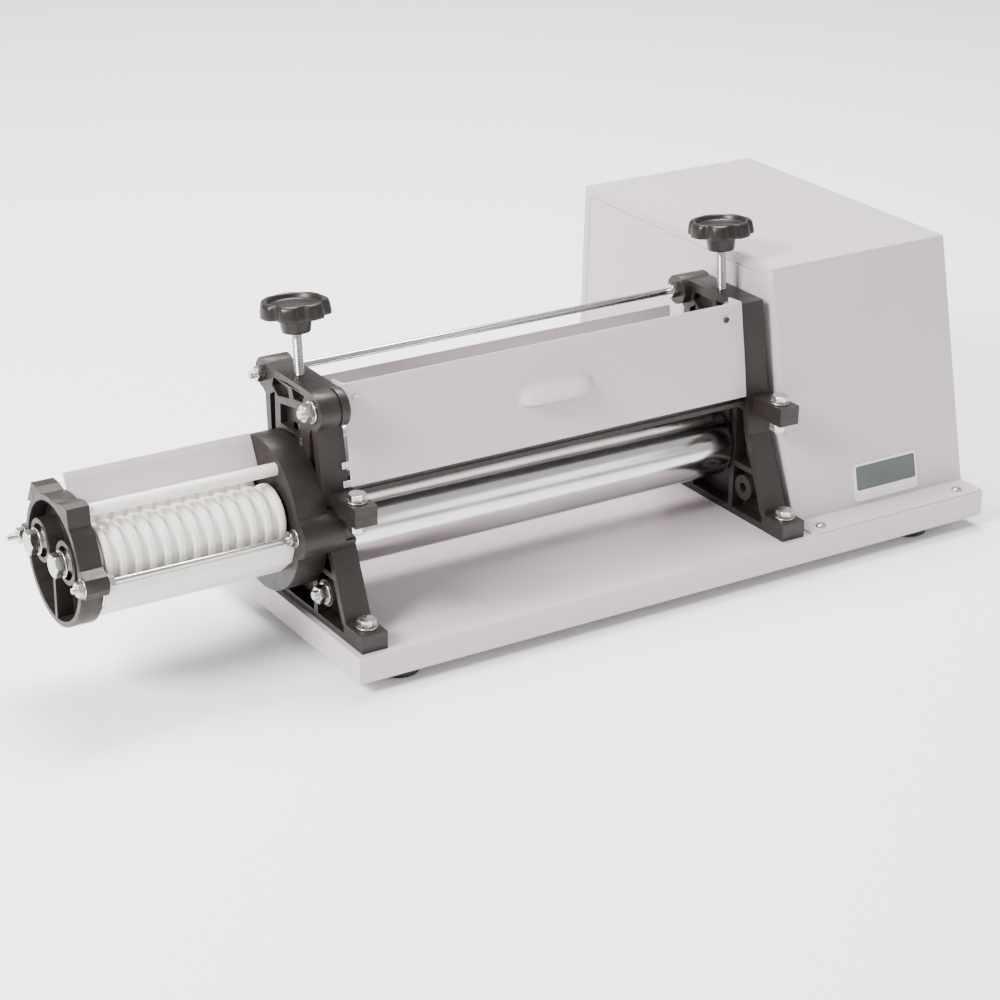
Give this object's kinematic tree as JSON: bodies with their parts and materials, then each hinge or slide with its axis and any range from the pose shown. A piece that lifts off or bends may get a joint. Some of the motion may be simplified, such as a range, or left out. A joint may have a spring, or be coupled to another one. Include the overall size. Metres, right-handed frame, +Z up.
{
  "type": "pasta roller machine",
  "caption": "Motor-driven dough sheeter: two geared chromed rollers between black frames, screw knobs set the gap, hinged guard, boxed drive and a noodle-cutting head on the end",
  "frame": {"origin": "bottom centre of the whole machine's bounding box: half way from the cutter's tie rod ends to the switch, half way from front to back, on the face that the rubber feet stand on", "axes": "+X along the rollers towards the drive housing, +Y from the front (where the sheet comes out) to the back, +Z up"},
  "size_m": [0.8324, 0.385, 0.2797],
  "materials": {
    "white_sheet": "white to pale lavender powder coat, satin",
    "black_casting": "black moulded, slightly rough",
    "black_rubber": "matt black",
    "zinc": "bright zinc plate",
    "chrome_roller": "ground and hard-chromed",
    "cutter_white": "white food-grade plastic",
    "gear_steel": "oiled machined steel",
    "bush_bronze": "sintered bronze",
    "block_alloy": "machined alloy",
    "knob_black": "black moulded, satin",
    "motor_paint": "grey machine enamel",
    "belt_rubber": "black ribbed",
    "badge_grey": "plain grey, pale border",
    "rocker_red": "red switch plastic"
  },
  "bodies": {
    "stand": {"base_tray": "white_sheet", "rubber_feet": "black_rubber", "foot_bolts": "zinc", "left_lower_frame": "black_casting", "left_upper_frame": "black_casting", "right_lower_frame": "black_casting", "right_upper_frame": "black_casting", "clamp_bolts": "zinc", "rear_studs": "zinc", "frame_side_bolts": "zinc", "rear_tie_rod": "zinc", "tie_rod_nuts": "zinc", "roller_bushes": "bush_bronze", "feed_chute": "white_sheet", "roller_scraper": "black_casting", "guard_pivots": "zinc", "cutter_gear_case": "black_casting", "cutter_end_cap": "black_casting", "cutter_tie_rods": "zinc", "cutter_rod_nuts": "zinc", "cutter_front_bar": "cutter_white", "cutter_chute": "white_sheet", "front_comb": "cutter_white", "rear_comb": "cutter_white", "cutter_bushes": "bush_bronze", "housing_cover": "white_sheet", "housing_left_plate": "white_sheet", "housing_right_plate": "white_sheet", "housing_screws": "zinc", "badge_plate": "badge_grey", "gear_bracket": "motor_paint", "bracket_bushes": "bush_bronze", "motor_body": "motor_paint", "motor_mount": "motor_paint", "drive_belt": "belt_rubber", "switch_body": "knob_black", "cable_gland": "black_rubber"},
    "lower_roller_body": {"lower_roller": "chrome_roller", "lower_pair_gear": "gear_steel", "main_gear": "gear_steel", "cutter_drive_gear": "gear_steel"},
    "carriage": {"left_bearing_block": "block_alloy", "right_bearing_block": "block_alloy"},
    "upper_roller_body": {"upper_roller": "chrome_roller", "upper_pair_gear": "gear_steel"},
    "left_knob_body": {"left_screw": "zinc", "left_knob": "knob_black"},
    "right_knob_body": {"right_screw": "zinc", "right_knob": "knob_black"},
    "guard_body": {"guard": "white_sheet"},
    "front_cutter_body": {"front_cutter": "cutter_white", "front_cutter_gears": "gear_steel", "front_cutter_bolt": "zinc"},
    "rear_cutter_body": {"rear_cutter": "cutter_white", "rear_cutter_gear": "gear_steel", "rear_cutter_bolt": "zinc"},
    "rotor": {"motor_shaft": "gear_steel"},
    "layshaft_body": {"layshaft": "gear_steel"},
    "rocker": {"switch_rocker": "rocker_red"}
  },
  "joints": [
    {"name": "lower_spin", "type": "hinge", "parent": "stand", "child": "lower_roller_body", "pos_m": [-0.01017, -0.0865, 0.089], "axis": [1, 0, 0], "continuous": true},
    {"name": "carriage_slide", "type": "slide", "parent": "stand", "child": "carriage", "axis": [0, 0.1011, 0.9949], "range_m": [0, 0.003]},
    {"name": "upper_spin", "type": "hinge", "parent": "carriage", "child": "upper_roller_body", "pos_m": [-0.01017, -0.08031, 0.14999], "axis": [1, 0, 0], "continuous": true},
    {"name": "left_knob_turn", "type": "hinge", "parent": "carriage", "child": "left_knob_body", "pos_m": [-0.19397, -0.08031, 0.14999], "axis": [0, 0.1011, 0.9949], "range_deg": [0, 866]},
    {"name": "right_knob_turn", "type": "hinge", "parent": "carriage", "child": "right_knob_body", "pos_m": [0.20603, -0.08031, 0.14999], "axis": [0, 0.1011, 0.9949], "range_deg": [0, 866]},
    {"name": "guard_hinge", "type": "hinge", "parent": "stand", "child": "guard_body", "pos_m": [-0.01017, -0.1065, 0.214], "axis": [-1, 0, 0], "range_deg": [0, 95]},
    {"name": "front_cutter_spin", "type": "hinge", "parent": "stand", "child": "front_cutter_body", "pos_m": [-0.31017, -0.09875, 0.11964], "axis": [1, 0, 0], "continuous": true},
    {"name": "rear_cutter_spin", "type": "hinge", "parent": "stand", "child": "rear_cutter_body", "pos_m": [-0.31017, -0.05225, 0.11964], "axis": [1, 0, 0], "continuous": true},
    {"name": "layshaft_spin", "type": "hinge", "parent": "stand", "child": "layshaft_body", "pos_m": [0.30983, -0.03407, 0.12571], "axis": [1, 0, 0], "continuous": true},
    {"name": "motor_spin", "type": "hinge", "parent": "stand", "child": "rotor", "pos_m": [0.35983, 0.0825, 0.094], "axis": [1, 0, 0], "continuous": true},
    {"name": "switch_rock", "type": "hinge", "parent": "stand", "child": "rocker", "pos_m": [0.40983, 0.0975, 0.182], "axis": [0, 1, 0], "range_deg": [0, 20]}
  ],
  "couplings": [
    {"joint": "upper_spin", "follows": "lower_spin", "ratio": -1},
    {"joint": "left_knob_turn", "follows": "carriage_slide", "rad_per_m": 5026.5},
    {"joint": "right_knob_turn", "follows": "carriage_slide", "rad_per_m": 5026.5},
    {"joint": "front_cutter_spin", "follows": "lower_spin", "ratio": -0.94118},
    {"joint": "rear_cutter_spin", "follows": "lower_spin", "ratio": 0.94118},
    {"joint": "layshaft_spin", "follows": "lower_spin", "ratio": -3.5714},
    {"joint": "motor_spin", "follows": "lower_spin", "ratio": -12.185}
  ]
}
